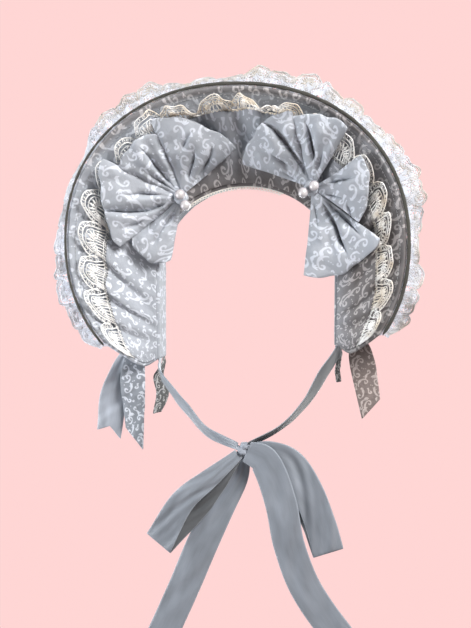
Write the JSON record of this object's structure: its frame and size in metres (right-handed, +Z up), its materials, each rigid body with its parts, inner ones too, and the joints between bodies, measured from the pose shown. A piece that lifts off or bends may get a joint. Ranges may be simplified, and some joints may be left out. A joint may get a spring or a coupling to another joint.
{
  "type": "frilled half bonnet",
  "caption": "Stiff horseshoe brim on a head band, with a gathered frill, scalloped lace edges, puffed bows with beads, hanging tails and satin ties knotted in a bow under the chin.",
  "frame": {"origin": "middle of the head band's front edge, at the top of its inner face, where the band sits on the crown of the head", "axes": "+Z up, the wearer faces -Y, +X to the right as seen from the front"},
  "size_m": [0.3081, 0.1123, 0.4869],
  "materials": {
    "print_cloth": "matt grey cotton with a small white scroll print",
    "cotton_lace": "ivory cotton lace with scallops, open work",
    "net_lace": "white cotton lace on net, open work",
    "picot": "narrow picot braid",
    "satin_ribbon": "slate grey satin with a soft sheen",
    "pearl": "pearl lustre"
  },
  "bodies": {
    "root": {"brim": "print_cloth", "piping": "print_cloth", "head_band": "print_cloth", "frill": "print_cloth", "knot_left": "print_cloth", "knot_right": "print_cloth", "loop_left_upper_inner": "print_cloth", "loop_left_upper_outer": "print_cloth", "loop_left_outer": "print_cloth", "loop_left_lower": "print_cloth", "loop_right_upper_inner": "print_cloth", "loop_right_upper_outer": "print_cloth", "loop_right_outer": "print_cloth", "loop_right_lower": "print_cloth", "tail_print_left": "print_cloth", "tail_inner_left": "print_cloth", "tail_print_right": "print_cloth", "tail_inner_right": "print_cloth", "frill_lace": "cotton_lace", "back_lace": "net_lace", "picot_edging": "picot", "tail_satin_left": "satin_ribbon", "tie_left": "satin_ribbon", "tie_right": "satin_ribbon", "chin_knot": "satin_ribbon", "chin_loop_left": "satin_ribbon", "chin_loop_right": "satin_ribbon", "chin_tail_left": "satin_ribbon", "chin_tail_right": "satin_ribbon", "bead_left_upper": "pearl", "bead_left_lower": "pearl", "bead_right_outer": "pearl", "bead_right_inner": "pearl"}
  },
  "joints": []
}
